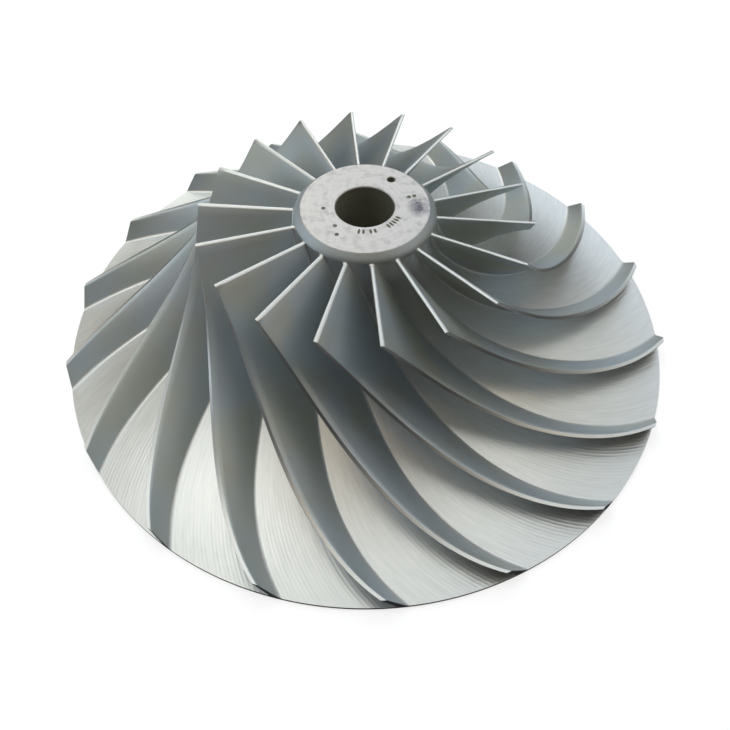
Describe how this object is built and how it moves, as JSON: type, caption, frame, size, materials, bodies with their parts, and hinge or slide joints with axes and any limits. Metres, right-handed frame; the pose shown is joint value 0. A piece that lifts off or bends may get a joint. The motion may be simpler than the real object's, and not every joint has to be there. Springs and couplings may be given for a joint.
{
  "type": "turbine wheel",
  "caption": "Radial turbomachine wheel: a flared hub with a central shaft bore and thin swept blades around it, open at the front, that turn gas between axial and radial flow.",
  "frame": {"origin": "on the wheel's axis, in the plane of the back face that it lies on", "axes": "+Z along the axis from the back face to the nose; +X at the leading edge of blade_01"},
  "size_m": [0.3, 0.3, 0.081],
  "materials": {
    "hub_metal": "as milled, satin",
    "blade_metal": "as milled, satin"
  },
  "bodies": {
    "root": {"hub": "hub_metal", "blade_01": "blade_metal", "blade_02": "blade_metal", "blade_03": "blade_metal", "blade_04": "blade_metal", "blade_05": "blade_metal", "blade_06": "blade_metal", "blade_07": "blade_metal", "blade_08": "blade_metal", "blade_09": "blade_metal", "blade_10": "blade_metal", "blade_11": "blade_metal", "blade_12": "blade_metal", "blade_13": "blade_metal", "blade_14": "blade_metal", "blade_15": "blade_metal", "blade_16": "blade_metal", "blade_17": "blade_metal", "blade_18": "blade_metal"}
  },
  "joints": []
}
